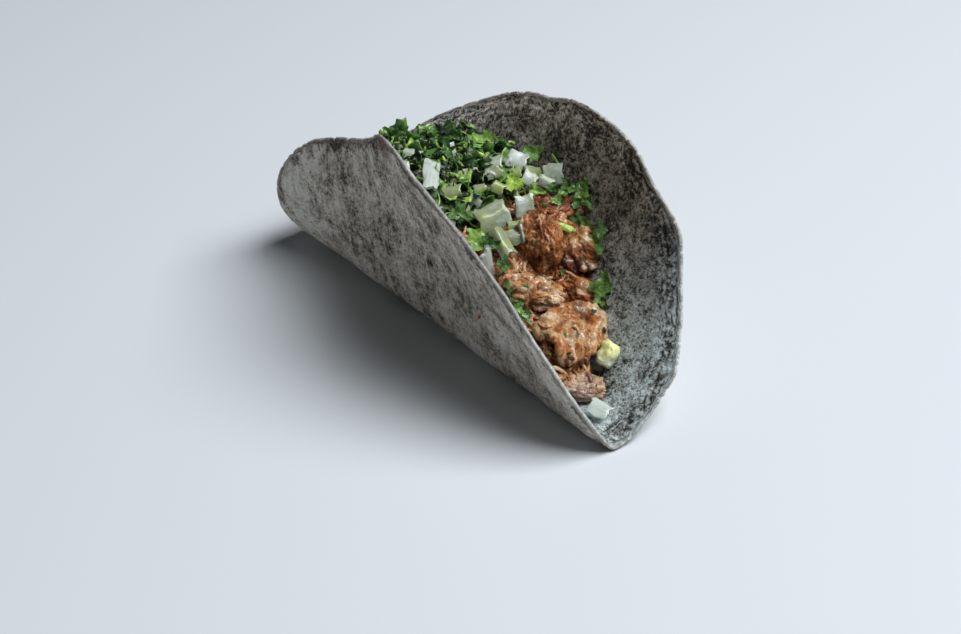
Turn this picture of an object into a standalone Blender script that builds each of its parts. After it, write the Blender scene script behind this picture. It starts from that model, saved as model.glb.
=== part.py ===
"""A soft taco at its real size: one blue-corn tortilla folded over braised pork,
with chopped onion and coriander heaped on its back half.

Frame: +X along the fold towards the low front tip, +Y towards the flap that leans
out, +Z up. The origin lies on the table under the middle of the taco. Lengths are
metres, and the places of the filling are given from the middle of the fold line.
"""
import math

import bmesh
import bpy
import numpy as np
from mathutils import Euler, Vector, noise

MM = 0.001

# ---------------------------------------------------------------- tortilla
DISC_RADIUS = 76 * MM
SHEET = 2.2 * MM             # thickness of the tortilla
FOLD_OFFSET = 7.1 * MM       # the disc's centre lies this far out on the leaning flap
TIP_ANGLE = math.asin(FOLD_OFFSET / DISC_RADIUS)    # of the fold's ends on the rim
RIM_TAPER = 1.2 * MM         # the sheet thins to its rim over this width
# The rim's uneven outline: number of lobes, their depth as a share of the radius, turn.
RIM_WAVES = ((2, 0.002, -3.05), (3, 0.009, -2.01), (5, 0.025, 1.74), (6, 0.0137, -2.33),
             (7, 0.0088, 0.13))
# Single bulges and dents of the rim: angle round the disc from the front tip, half
# width, height as a share of the radius. The last is the steep flap's sharp corner.
RIM_BUMPS = ((0.80, 0.12, 0.034), (1.05, 0.08, -0.013), (0.27, 0.08, 0.020), (1.79, 0.11, -0.018),
             (-1.67, 0.10, 0.024))

# Each flap leaves the fold flat on the table, bends up and then curls on its way out.
# The three values hold at the front tip, the middle and the back tip of the fold.
STEEP_RISE = (59, 86, 33)        # degrees above the table
LEAN_RISE = (20, 49, 44)
STEEP_CURL = (1.4, -1.8, 18.0)   # degrees for each centimetre further out
LEAN_CURL = (9.9, 3.4, -1.2)
BEND_REACH = (1.95 * MM, 7.7 * MM)   # how soon a flap takes up its rise, front and back
BEND_POWER = 1.5                 # how gently a flap starts to rise
FOOT = 14.2 * MM                 # width of the flat strip that the taco stands on
FOOT_BLUNT = 0.7                 # the lower, the blunter the strip's two ends

ROWS = 34                    # facets along the fold
FOOT_COLUMNS = 2             # facets across the foot, the bend and the rest of a flap
BEND_COLUMNS = 4
FLAP_COLUMNS = 9
BEND_SPAN = 2.6              # the bend's columns cover this many times its reach
FOOT_SHARE = 0.3             # the most of a flap's width that its foot takes up,
BEND_SHARE = 0.35            # then its bend of what is left, and then its rim
RIM_SHARE = 0.2
PATH_STEPS = 48              # steps in adding up a flap's curved path

# ---------------------------------------------------------------- filling
GAP = 0.6 * MM               # clearance between one piece and the next
ROOM = 1.9 * MM              # clearance of a meat piece over the bed and before the salad
OVERHEAD = 100 * MM          # a height above everything
TROUGH_SPAN = (-40 * MM, 70 * MM)    # across the fold, what the table of the trough covers
TROUGH_ROWS = 153
TROUGH_COLUMNS = 441
PATH_SAMPLES = 400           # points along a section of the sheet
# Distance from the front tip, then the height of the filling on the steep flap and
# on the leaning flap.
FILL_TOP = (
    (15, 4.0, 3.0),
    (22, 8.5, 4.5),
    (30, 13.5, 10.0),
    (38, 19.0, 14.5),
    (48, 25.0, 19.5),
    (55, 30.0, 28.0),
    (64, 35.0, 35.0),
    (78, 41.0, 37.5),
    (98, 45.0, 36.5),
    (118, 43.0, 33.5),
    (134, 33.0, 27.0),
    (144, 21.0, 19.5),
    (149, 10.0, 10.0),
)
CROWN = 1.5 * MM             # rise of the top between the flaps
TOP_ROUGH = 1.0 * MM         # depth and size of the top's lumps
TOP_LUMP = 9 * MM

BED_SINK = 7.5 * MM          # the meat bed lies this far below the top of the filling
BED_DEEPENS = (15 * MM, 33 * MM)     # it sinks over this span from the front
BED_RISES = (150 * MM, 130 * MM)     # and over this span from the back
LEAST_SINK = 0.1             # share of the sink that is left at the bed's thin ends
BED_SPAN = (27 * MM, 147 * MM)
BED_STATIONS = 20
BED_UNDER = 13               # points across the bed's underside and across its top
BED_OVER = 11

SALAD_EDGE = (59, 60, 65, 70, 70)   # front edge of the salad from flap to flap, mm
SALAD_END = 145.5 * MM
SALAD_STATIONS = 17
SALAD_COLUMNS = 12
SALAD_FRONT = (0.35, 2.6)    # share of its thickness at the front edge, and its growth
SALAD_BACK = (0.3, 4)        # the same from the back edge
SALAD_ROUGH = 1.6 * MM       # depth and size of the lumps of its top
SALAD_LUMP = 5.5 * MM
SALAD_WIDTH = 30 * MM        # about how wide it is

SURFACE_ALONG = (10, 80)     # the table of surfaces covers these whole millimetres
SURFACE_ACROSS = (-12, 60)

# Pieces of meat: name, middle, half sizes, roll, tilt and turn, corner power (2 is an
# ellipsoid, more is blockier). Millimetres and degrees.
PORK = (
    ("pork_chunk_front", (39.0, 12.0, 10.6), (13.4, 11.4, 8.0), (24, 18, 78), 4.6),
    ("pork_fat_strip", (28.6, 10.8, 21.5), (10.2, 4.0, 3.6), (0, 29, 52), 3.2),
    ("pork_piece_left", (26.0, 4.8, 23.8), (6.0, 5.0, 4.8), (0, 0, 40), 3.2),
    ("pork_piece_middle", (25.4, 20.8, 19.6), (4.8, 4.6, 4.2), (0, 0, 20), 3.0),
    ("pork_piece_right", (28.3, 24.6, 16.6), (5.2, 4.8, 4.8), (0, 25, 60), 3.2),
    ("pork_chunk_back", (18.0, 20.6, 29.2), (7.4, 7.6, 9.4), (0, 0, 30), 3.8),
    ("pork_piece_dark", (22.2, 25.6, 23.0), (4.2, 4.0, 5.2), (0, 0, 10), 3.2),
    ("pork_chunk_right", (23.2, 29.8, 25.0), (7.2, 4.4, 4.8), (0, 40, -39), 3.4),
    ("pork_strip_back", (11.7, 31.4, 32.4), (7.2, 4.4, 4.0), (0, 13, 73), 3.2),
    ("pork_piece_front", (54.0, 6.8, 5.2), (6.4, 5.0, 2.4), (0, 8, 55), 2.8),
)
PORK_FACETS = 3              # subdivisions of the ball that each piece is squeezed from
PORK_ROUGH = 0.07            # depth of its lumps against its size
PORK_LUMPS = 1.6             # lumps across half a piece, roughly
PORK_FRACTAL = (0.8, 2.1, 3)     # their fall-off, finer steps and number of sizes
GROWTH_STEPS = 50            # steps in which a piece grows
LEAST_REACH = 0.2 * MM       # from a piece's middle to its surface
PORK_SEED_STEP = 3.7

# Small pieces with flat sides: name, middle, half sizes, then roll, tilt and turn
AVOCADO = ("avocado_dice", (52.5, 16.5, 11.5), (2.4, 3.4, 2.1), (44, 0, 8))
ONION = (
    ("onion_flake_front", (63.4, 4.8, 4.1), (3.3, 2.8, 0.8), (6, 0, 20)),
    ("onion_sliver_front", (19.8, -1.0, 31.6), (0.9, 2.0, 4.8), (-8, 10, 20)),
    ("onion_sliver_back", (-10.3, 2.0, 45.9), (6.4, 2.3, 0.9), (-10, 4, -41)),
)
CHIP_BEVEL = 0.45 * MM
BEVEL_SHARE = 0.55           # the most of a piece's half thickness that its bevel takes
CHIP_SKEW = 0.16             # unevenness of the corners, against the half size
CHIP_LUMPS = 1.7
CHIP_SHIFTS = (3, 17, 41)    # apart, so that the three ways of a corner are independent
CHIP_ROOM = 0.5              # millimetres kept round such a piece
ONION_SEED_STEP = 2.3
AVOCADO_SEED = 5.1

BLUE_CORN = ("masa", (0.16, 0.155, 0.15), 0.85)
PORK_BROWN = ("braised_pork", (0.34, 0.12, 0.045), 0.38)
FAT_PALE = ("pork_fat", (0.62, 0.33, 0.15), 0.35)
SALAD_GREEN = ("onion_and_herbs", (0.20, 0.30, 0.09), 0.55)
ONION_WHITE = ("onion", (0.78, 0.80, 0.74), 0.30)
AVOCADO_GREEN = ("avocado", (0.66, 0.68, 0.30), 0.40)


def clear_scene():
    for thing in list(bpy.data.objects):
        bpy.data.objects.remove(thing, do_unlink=True)


def material(finish):
    name, colour, roughness = finish
    made = bpy.data.materials.get(name)
    if made is None:
        made = bpy.data.materials.new(name)
        made.use_nodes = True
        shader = made.node_tree.nodes["Principled BSDF"]
        shader.inputs["Base Color"].default_value = (*colour, 1)
        shader.inputs["Roughness"].default_value = roughness
        shader.inputs["Metallic"].default_value = 0
    return made


def add_node(name, points, faces, finish):
    """Make one closed, outward-facing object, with the taco's middle over the origin."""
    mesh = bpy.data.meshes.new(name)
    mesh.from_pydata([tuple(p) for p in np.asarray(points) - MIDDLE], [], faces)
    shape = bmesh.new()
    shape.from_mesh(mesh)
    loose = [v for v in shape.verts if not v.link_faces]
    bmesh.ops.delete(shape, geom=loose, context="VERTS")
    bmesh.ops.triangulate(shape, faces=shape.faces)
    bmesh.ops.recalc_face_normals(shape, faces=shape.faces)
    if shape.calc_volume(signed=True) < 0:
        bmesh.ops.reverse_faces(shape, faces=shape.faces)
    shape.to_mesh(mesh)
    shape.free()
    mesh.materials.append(material(finish))
    thing = bpy.data.objects.new(name, mesh)
    bpy.context.scene.collection.objects.link(thing)
    mesh.shade_smooth()


# ---------------------------------------------------------------- the folded sheet
def through_three(values, u):
    """The parabola that takes three values at u = 0, a half and 1."""
    first, middle, last = values
    return first * (1 - u) * (1 - 2 * u) + 4 * middle * u * (1 - u) + last * u * (2 * u - 1)


def between(pair, u):
    return pair[0] * (1 - u) + pair[1] * u


def foot_width(t, leaning):
    """Width of the flat strip beside the fold, all on the leaning flap. It closes at
    both tips."""
    u = np.clip(t / (2 * DISC_RADIUS), 1e-4, 1 - 1e-4)
    return np.where(leaning, FOOT * np.sin(math.pi * u) ** FOOT_BLUNT, 0)


def sheet_point(t, s, lift):
    """A point of the folded sheet: t along the fold from the front tip, s across it
    (positive on the leaning flap), lift from mid-sheet towards the filling."""
    t, s, lift = np.broadcast_arrays(np.asarray(t, float), s, lift)
    u = t / (2 * DISC_RADIUS)
    leaning = s >= 0
    rise = np.radians(np.where(leaning, through_three(LEAN_RISE, u), through_three(STEEP_RISE, u)))
    curl = np.radians(np.where(leaning, through_three(LEAN_CURL, u), through_three(STEEP_CURL, u)))
    curl = curl / (10 * MM)
    reach = between(BEND_REACH, u)
    foot = foot_width(t, leaning)

    def slope(length):
        past = np.maximum(length - foot, 0)
        return rise * (1 - np.exp(-(past / reach) ** BEND_POWER)) + curl * past

    out = np.zeros_like(u)
    up = np.zeros_like(u)
    for step in range(PATH_STEPS):
        angle = slope(np.abs(s) * (step + 0.5) / PATH_STEPS)
        out += np.abs(s) * np.cos(angle) / PATH_STEPS
        up += np.abs(s) * np.sin(angle) / PATH_STEPS
    angle = slope(np.abs(s))
    side = np.where(leaning, 1, -1)
    y = side * (out - lift * np.sin(angle))
    z = up + lift * np.cos(angle) + SHEET / 2
    return np.stack([DISC_RADIUS - t, y, z], axis=-1)


def rim_radius(beta):
    beta = (beta + math.pi) % (2 * math.pi) - math.pi
    waves = sum(depth * np.sin(count * beta + turn) for count, depth, turn in RIM_WAVES)
    bumps = sum(height * np.exp(-((beta - angle) / width) ** 2) for angle, width, height in RIM_BUMPS)
    return DISC_RADIUS * (1 + waves + bumps)


def rim_point(beta):
    """The flat disc's rim at an angle from the front tip, as distances t and s."""
    radius = rim_radius(beta)
    return DISC_RADIUS - radius * math.cos(beta), radius * math.sin(beta) + FOLD_OFFSET


def flap_columns(foot, reach, width):
    """Distances from the fold line to the rim: even in the foot, close in the bend."""
    foot = min(max(foot, SHEET / 2), FOOT_SHARE * width)
    bend = foot + min(BEND_SPAN * reach, BEND_SHARE * (width - foot))
    rim = width - min(RIM_TAPER, RIM_SHARE * (width - bend))
    inner = np.linspace(0, foot, FOOT_COLUMNS + 1)
    middle = np.linspace(foot, bend, BEND_COLUMNS + 1)[1:]
    outer = np.linspace(bend, rim, FLAP_COLUMNS)[1:]
    return np.concatenate([inner, middle, outer, [width]])


def fold_tips():
    """The two ends of the fold line, where it meets the rim."""
    return rim_point(-TIP_ANGLE), rim_point(math.pi + TIP_ANGLE)


def sheet_row(q):
    """Distances t and s of one row across both flaps, at a share q of the way back."""
    front, back = fold_tips()
    fold_t = front[0] + (back[0] - front[0]) * (1 - math.cos(math.pi * q)) / 2
    beta = math.acos(math.cos(TIP_ANGLE) * math.cos(math.pi * q))
    sides = []
    for leaning, angle in ((False, -beta), (True, beta)):
        rim_t, rim_s = rim_point(angle)
        foot = float(foot_width(fold_t, leaning))
        reach = between(BEND_REACH, fold_t / (2 * DISC_RADIUS))
        share = flap_columns(foot, reach, abs(rim_s)) / abs(rim_s)
        sides.append(np.stack([fold_t + (rim_t - fold_t) * share, rim_s * share], axis=-1))
    steep, lean = sides
    return np.concatenate([steep[::-1], lean[1:]])


def half_sheet(t, s):
    """Half the sheet's thickness, which rounds off to nothing at the rim."""
    beta = np.arctan2(s - FOLD_OFFSET, DISC_RADIUS - t)
    inside = rim_radius(beta) - np.hypot(s - FOLD_OFFSET, DISC_RADIUS - t)
    share = np.clip(inside / RIM_TAPER, 0, 1)
    return SHEET / 2 * np.sqrt(1 - (1 - share) ** 2)


def tortilla_shape():
    """Closed faces of the folded disc: an inner and an outer skin that share the rim."""
    rows = [sheet_row(k / ROWS) for k in range(1, ROWS)]
    flat = np.concatenate(rows + [np.array(fold_tips())])
    half = half_sheet(flat[:, 0], flat[:, 1])
    width = len(rows[0])
    front, back = len(flat) - 2, len(flat) - 1
    rim = {front, back}
    for k in range(len(rows)):
        rim.update((k * width, (k + 1) * width - 1))
    half[list(rim)] = 0
    points = np.concatenate([sheet_point(flat[:, 0], flat[:, 1], half),
                             sheet_point(flat[:, 0], flat[:, 1], -half)])
    patches = []
    for k in range(len(rows) - 1):
        for j in range(width - 1):
            a = k * width + j
            patches.append((a, a + 1, a + 1 + width, a + width))
    for j in range(width - 1):
        last = (len(rows) - 1) * width + j
        patches.append((front, j + 1, j))
        patches.append((back, last, last + 1))
    faces = list(patches)
    for patch in patches:
        faces.append(tuple(i if i in rim else i + len(flat) for i in reversed(patch)))
    return points, faces


# ---------------------------------------------------------------- the trough and its filling
def flap_width(t, side):
    """Distance from the fold to the rim on the steep (-1) or the leaning (1) flap."""
    half_chord = math.sqrt(max(DISC_RADIUS ** 2 - (DISC_RADIUS - t) ** 2, 0))
    return max(half_chord + side * FOLD_OFFSET, MM)


def trough_table():
    """Height of the filling's lower side over a grid of t and y, one gap off the sheet,
    and far overhead where no sheet lies below."""
    along = np.linspace(0, 2 * DISC_RADIUS, TROUGH_ROWS)
    across = np.linspace(*TROUGH_SPAN, TROUGH_COLUMNS)
    heights = []
    for t in along:
        s = np.linspace(-flap_width(t, -1), flap_width(t, 1), PATH_SAMPLES)
        path = sheet_point(t, s, SHEET / 2 + GAP)
        y = np.maximum.accumulate(path[:, 1])
        heights.append(np.interp(across, y, path[:, 2], left=OVERHEAD, right=OVERHEAD))
    return along, across, np.array(heights)


def trough_height(t, y):
    along, across, heights = TROUGH
    i = np.clip((t / (along[1] - along[0])).astype(int), 0, len(along) - 2)
    j = np.clip(((y - across[0]) / (across[1] - across[0])).astype(int), 0, len(across) - 2)
    a = np.clip(t / (along[1] - along[0]) - i, 0, 1)
    b = np.clip((y - across[0]) / (across[1] - across[0]) - j, 0, 1)
    near = heights[i, j] * (1 - b) + heights[i, j + 1] * b
    far = heights[i + 1, j] * (1 - b) + heights[i + 1, j + 1] * b
    return near * (1 - a) + far * a


def flap_reach(t, height, side):
    """How far up a flap its inner face is at a height, and where that is across."""
    s = side * np.linspace(0, flap_width(t, side), PATH_SAMPLES)
    path = sheet_point(t, s, SHEET / 2 + GAP)
    z = np.maximum.accumulate(path[:, 2])
    reach = np.interp(height, z, np.abs(s))
    return side * reach, float(np.interp(height, z, path[:, 1]))


def fill_edges(t, sink=0.0):
    """Where the top of the filling meets the two flaps: (s, y, z) for each."""
    table = np.array(FILL_TOP) * MM
    edges = []
    for side, column in ((-1, 1), (1, 2)):
        height = float(np.interp(t, table[:, 0], table[:, column])) - sink
        height = max(height, float(trough_height(np.array([t]), np.array([0.0]))[0]) + GAP)
        reach, y = flap_reach(t, height, side)
        edges.append((reach, y, height))
    return edges


def fill_top(t, y, sink):
    """Height of the uneven top over one place of the trough."""
    (_, y0, z0), (_, y1, z1) = fill_edges(t, sink)
    share = min(max((y - y0) / (y1 - y0), 0), 1)
    bump = 4 * share * (1 - share)
    lumps = noise.noise(Vector((t, y, 0.01)) / TOP_LUMP) * TOP_ROUGH
    return z0 * (1 - share) + z1 * share + bump * (CROWN + lumps)


def loft(rings):
    """Faces through rings of equal count, closed by a fan at each end."""
    count = len(rings[0])
    points = np.concatenate([np.concatenate(rings), [rings[0].mean(axis=0)], [rings[-1].mean(axis=0)]])
    faces = []
    for k in range(len(rings) - 1):
        for j in range(count):
            a = k * count + j
            b = k * count + (j + 1) % count
            faces.append((a, b, b + count, a + count))
    last = (len(rings) - 1) * count
    for j in range(count):
        faces.append((len(points) - 2, (j + 1) % count, j))
        faces.append((len(points) - 1, last + j, last + (j + 1) % count))
    return points, faces


def bed_ring(t, sink):
    """One section of the meat bed: along the sheet, then back over its uneven top."""
    (s0, y0, _), (s1, y1, _) = fill_edges(t, sink)
    under = sheet_point(t, np.linspace(s0, s1, BED_UNDER), SHEET / 2 + GAP)
    over = [(DISC_RADIUS - t, y, fill_top(t, y, sink)) for y in np.linspace(y1, y0, BED_OVER)[1:-1]]
    return np.concatenate([under, np.array(over)])


def bed_shape():
    """The meat bed, thin at both ends and deepest under the salad."""
    front, back = BED_SPAN
    rings = []
    for k in range(BED_STATIONS + 1):
        t = front + (back - front) * k / BED_STATIONS
        rings.append(bed_ring(t, bed_sink(t)))
    return loft(rings)


def bed_sink(t):
    """Depth of the bed's top under the filling's, less near the thin ends."""
    shares = [(t - start) / (end - start) for start, end in (BED_DEEPENS, BED_RISES)]
    return BED_SINK * max(min(*shares, 1), LEAST_SINK)


def salad_front(share):
    return float(np.interp(share, np.linspace(0, 1, len(SALAD_EDGE)), np.array(SALAD_EDGE) * MM))


def salad_shape():
    """The heap of onion and herbs: a slab that fills the trough above the meat bed.
    Its stations run from the curved front edge to the back."""
    shares = np.linspace(0, 1, SALAD_COLUMNS)
    rings = []
    for k in range(SALAD_STATIONS + 1):
        back = k / SALAD_STATIONS
        over = []
        under = []
        for share in shares:
            t = salad_front(share) * (1 - back) + SALAD_END * back
            depth = bed_sink(t)
            thick = min(SALAD_FRONT[0] + SALAD_FRONT[1] * back, 1)
            thick *= min(SALAD_BACK[0] + SALAD_BACK[1] * (1 - back), 1)
            low = salad_point(t, share, depth - 2 * GAP)
            high = salad_point(t, share, depth * (1 - thick))
            lumps = noise.noise(Vector((t, share * SALAD_WIDTH, 0.3)) / SALAD_LUMP)
            high[2] += lumps * SALAD_ROUGH * math.sin(math.pi * share) * thick
            over.append(high)
            under.append(low)
        rings.append(np.array(under + over[::-1]))
    return loft(rings)


def salad_point(t, share, sink):
    """A point a share of the way across the filling, sink below its top."""
    (_, y0, _), (_, y1, _) = fill_edges(t, sink)
    y = y0 * (1 - share) + y1 * share
    return np.array([DISC_RADIUS - t, y, fill_top(t, y, sink)])


# ---------------------------------------------------------------- pieces in the filling
def free_space(points, own, own_size, others):
    """Which points a piece may take: above the bed, inside the flaps, in front of the
    salad, and on its own side of the halfway planes to the other pieces."""
    t = DISC_RADIUS - points[:, 0]
    allowed = points[:, 2] > trough_height(t, points[:, 1])
    allowed &= points[:, 2] > bed_height(t, points[:, 1]) + ROOM
    allowed &= t < salad_limit(t, points[:, 1]) - ROOM
    for other, size in others:
        away = np.array(other) * MM - own
        distance = np.linalg.norm(away)
        share = own_size / (own_size + size * MM)
        allowed &= (points - own) @ (away / distance) < distance * share - GAP / 2
    return allowed


def surface_table():
    """Heights of the bed's top and t of the salad's front edge on a grid of t and y."""
    along = np.arange(SURFACE_ALONG[0], SURFACE_ALONG[1] + 1) * MM
    across = np.arange(SURFACE_ACROSS[0], SURFACE_ACROSS[1] + 1) * MM
    bed = np.zeros((len(along), len(across)))
    limit = np.zeros((len(along), len(across)))
    for i, t in enumerate(along):
        (_, y0, _), (_, y1, _) = fill_edges(t)
        for j, y in enumerate(across):
            bed[i, j] = fill_top(t, y, bed_sink(t))
            limit[i, j] = salad_front(min(max((y - y0) / (y1 - y0), 0), 1))
    bed[along < BED_SPAN[0]] = 0
    return along, across, bed, limit


def look_up(grid, t, y):
    along, across = SURFACE[0], SURFACE[1]
    i = np.clip(np.rint((t - along[0]) / MM).astype(int), 0, len(along) - 1)
    j = np.clip(np.rint((y - across[0]) / MM).astype(int), 0, len(across) - 1)
    return grid[i, j]


def bed_height(t, y):
    return look_up(SURFACE[2], t, y)


def salad_limit(t, y):
    return look_up(SURFACE[3], t, y)


def squeezed_shape(name, middle, half, turns, power, seed):
    """A lump of meat: a soft-cornered block that grew until it met what lies round it."""
    centre = np.array(middle) * MM
    ball = bmesh.new()
    bmesh.ops.create_icosphere(ball, subdivisions=PORK_FACETS, radius=1)
    ways = np.array([v.co[:] for v in ball.verts])
    faces = [tuple(v.index for v in f.verts) for f in ball.faces]
    ball.free()
    local = ways @ np.array(Euler(np.radians(turns), "XYZ").to_matrix())
    reach = (np.abs(local / (np.array(half) * MM)) ** power).sum(axis=1) ** (-1 / power)
    for i, way in enumerate(local):
        place = Vector(way * PORK_LUMPS) + Vector((seed, 0, 0))
        reach[i] *= 1 + PORK_ROUGH * noise.fractal(place, *PORK_FRACTAL)
    others = [(place, sum(size) / 3) for other, place, size, *_ in PORK if other != name]
    others += [(place, max(size) + CHIP_ROOM) for _, place, size, _ in (AVOCADO, *ONION)]
    own_size = sum(half) / 3 * MM
    free = np.ones(len(ways), bool)
    grown = np.zeros(len(ways))
    for step in np.linspace(1 / GROWTH_STEPS, 1, GROWTH_STEPS):
        free &= free_space(centre + ways * (reach * step)[:, None], centre, own_size, others)
        grown[free] = (reach * step)[free]
    return centre + ways * np.maximum(grown, LEAST_REACH)[:, None], faces


def chip_shape(middle, half, turns, seed):
    """A cut piece with bevelled, slightly uneven corners."""
    shape = bmesh.new()
    bmesh.ops.create_cube(shape, size=2)
    for vert in shape.verts:
        skew = [noise.noise(vert.co * CHIP_LUMPS + Vector((seed, shift, 0))) for shift in CHIP_SHIFTS]
        vert.co += Vector(skew) * CHIP_SKEW
        vert.co = Vector(c * h * MM for c, h in zip(vert.co, half))
    width = min(CHIP_BEVEL, BEVEL_SHARE * min(half) * MM)
    bmesh.ops.bevel(shape, geom=shape.edges[:], offset=width, segments=2, affect="EDGES")
    spin = Euler(np.radians(turns), "XYZ").to_matrix()
    bmesh.ops.rotate(shape, verts=shape.verts, cent=(0, 0, 0), matrix=spin)
    bmesh.ops.translate(shape, verts=shape.verts, vec=Vector(middle) * MM)
    points = np.array([v.co[:] for v in shape.verts])
    faces = [tuple(v.index for v in f.verts) for f in shape.faces]
    shape.free()
    return points, faces


clear_scene()
sheet_points, sheet_faces = tortilla_shape()
low, high = sheet_points.min(axis=0), sheet_points.max(axis=0)
MIDDLE = np.array([(low[0] + high[0]) / 2, (low[1] + high[1]) / 2, 0])
TROUGH = trough_table()
SURFACE = surface_table()

add_node("tortilla", sheet_points, sheet_faces, BLUE_CORN)
add_node("pork_bed", *bed_shape(), PORK_BROWN)
add_node("salad_heap", *salad_shape(), SALAD_GREEN)
for number, (name, *lump) in enumerate(PORK):
    finish = FAT_PALE if "fat" in name else PORK_BROWN
    add_node(name, *squeezed_shape(name, *lump, number * PORK_SEED_STEP), finish)
for number, (name, *chip) in enumerate(ONION):
    add_node(name, *chip_shape(*chip, seed=number * ONION_SEED_STEP), ONION_WHITE)
add_node(AVOCADO[0], *chip_shape(*AVOCADO[1:], seed=AVOCADO_SEED), AVOCADO_GREEN)
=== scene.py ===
from math import cos, exp, pi, radians, sin, tau

import bmesh
import bpy
import numpy as np
from mathutils import Matrix, Vector, noise


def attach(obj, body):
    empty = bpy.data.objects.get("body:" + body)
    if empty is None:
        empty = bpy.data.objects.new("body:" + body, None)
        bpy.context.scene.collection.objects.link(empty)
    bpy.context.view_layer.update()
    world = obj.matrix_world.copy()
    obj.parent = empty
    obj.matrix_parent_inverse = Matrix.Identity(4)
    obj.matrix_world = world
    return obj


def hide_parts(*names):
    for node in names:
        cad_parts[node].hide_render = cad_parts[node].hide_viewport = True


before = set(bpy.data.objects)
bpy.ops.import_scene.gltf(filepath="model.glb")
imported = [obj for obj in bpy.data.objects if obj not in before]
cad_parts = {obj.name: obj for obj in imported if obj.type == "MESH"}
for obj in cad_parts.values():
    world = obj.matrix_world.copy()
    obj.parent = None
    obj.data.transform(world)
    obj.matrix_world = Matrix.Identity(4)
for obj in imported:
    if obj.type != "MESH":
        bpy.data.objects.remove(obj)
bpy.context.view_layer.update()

# ------------------------
# The table and its light. The taco stands on a plain pale tabletop with a satin
# glaze, under one broad lamp high at its back, with a weak fill from every side.
MM = 0.001
LENS = 71.2  # on a sensor 36 mm wide
EYE = (0.38159, -0.27873, 0.3238)
LOOK = Vector((-0.66821, 0.47983, -0.56856))
HEAD = Vector((-0.44432, 0.35558, 0.82228))
NEAREST = 0.01  # the camera sees nothing nearer than this
TABLE_SIZE = 4.0
TABLE_COLOUR = (0.72, 0.775, 0.83)
TABLE_GLAZE = 0.32
# Each lamp's direction from the taco, distance, width and height, and power in watts
WINDOW = ((0.38, 0.41, 1.0), 1.6, (1.1, 1.1), 34.0)
LOW_CARD = ((-0.75, -0.65, 0.055), 1.5, (1.3, 0.14), 3.0)
FILL_COLOUR = (0.86, 0.93, 1.0)
FILL_STRENGTH = 0.024


class Wire:
    """A node's output. Sums on wires add Math nodes, or Vector Math nodes where one of
    the terms is a vector. Wire.tree is the tree that new nodes are put in."""
    tree = None

    def __init__(self, socket):
        self.socket = socket

    def __getitem__(self, name):
        return Wire(self.socket.node.outputs[name])

    def __add__(self, other): return maths("ADD", self, other)
    def __radd__(self, other): return maths("ADD", other, self)
    def __sub__(self, other): return maths("SUBTRACT", self, other)
    def __rsub__(self, other): return maths("SUBTRACT", other, self)
    def __mul__(self, other): return maths("MULTIPLY", self, other)
    def __rmul__(self, other): return maths("MULTIPLY", other, self)
    def __truediv__(self, other): return maths("DIVIDE", self, other)
    def __pow__(self, other): return maths("POWER", self, other)
    def __abs__(self): return maths("ABSOLUTE", self)


def feed(node, key, value):
    """Gives a node's input a wire or a value."""
    if isinstance(key, int):
        socket = node.inputs[key]
    else:
        socket = next(s for s in node.inputs if s.enabled and s.name == key)
    if isinstance(value, Wire):
        Wire.tree.links.new(value.socket, socket)
    elif socket.type == "RGBA" and len(value) == 3:
        socket.default_value = (*value, 1)
    elif socket.type == "VECTOR" and isinstance(value, (int, float)):
        socket.default_value = (value,) * 3
    else:
        socket.default_value = value


def add(kind, values=None, **settings):
    """A new node with these inputs and settings; returns its first output."""
    node = Wire.tree.nodes.new(kind)
    for name, setting in settings.items():
        setattr(node, name, setting)
    for key, value in (values or {}).items():
        feed(node, key, value)
    usable = [s for s in node.outputs if s.enabled]
    return Wire(usable[0]) if usable else node


def geo(kind, values=None, **settings):
    return add("GeometryNode" + kind, values, **settings)


def shade(kind, values=None, **settings):
    return add("ShaderNode" + kind, values, **settings)


def maths(operation, *terms):
    flows = [t.socket.type for t in terms if isinstance(t, Wire)]
    is_vector = "VECTOR" in flows or any(isinstance(t, tuple) for t in terms)
    kind = "VectorMath" if is_vector else "Math"
    return shade(kind, dict(enumerate(terms)), operation=operation)


def mix(first, second, share, how="MIX"):
    """A colour part of the way from one colour to another."""
    return shade("Mix", {"Factor": share, "A": first, "B": second}, data_type="RGBA",
                 blend_type=how)


def tinted(colour, tint, share):
    """A colour multiplied by a tint, where share is 1."""
    return mix(colour, mix(colour, tint, 1.0, "MULTIPLY"), share)


def ramp(value, stops):
    """A colour read from a ramp of (place, colour) stops."""
    output = shade("ValToRGB", {"Fac": value})
    elements = output.socket.node.color_ramp.elements
    elements.remove(elements[1])
    for place, colour in stops[1:]:
        elements.new(place).color = (*colour, 1)
    elements[0].position = stops[0][0]
    elements[0].color = (*stops[0][1], 1)
    return output


def step(value, low, high, start=0.0, end=1.0):
    """A smooth step: start up to low, end from high on."""
    return shade("MapRange", {
        "Value": value, "From Min": low, "From Max": high, "To Min": start, "To Max": end},
        interpolation_type="SMOOTHSTEP")


def fractal(place, scale, detail=3.0, rough=0.55, warp=0.0):
    """Fractal noise between 0 and 1."""
    return shade("TexNoise", {
        "Vector": place, "Scale": scale, "Detail": detail, "Roughness": rough,
        "Distortion": warp})


def swing(*sort):
    """The same between minus and plus a half."""
    return fractal(*sort) - 0.5


def cells(place, scale=1.0):
    """Cells round random points: Distance from the point, and the cell's random Color."""
    return shade("TexVoronoi", {"Vector": place, "Scale": scale}, feature="F1")


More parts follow.
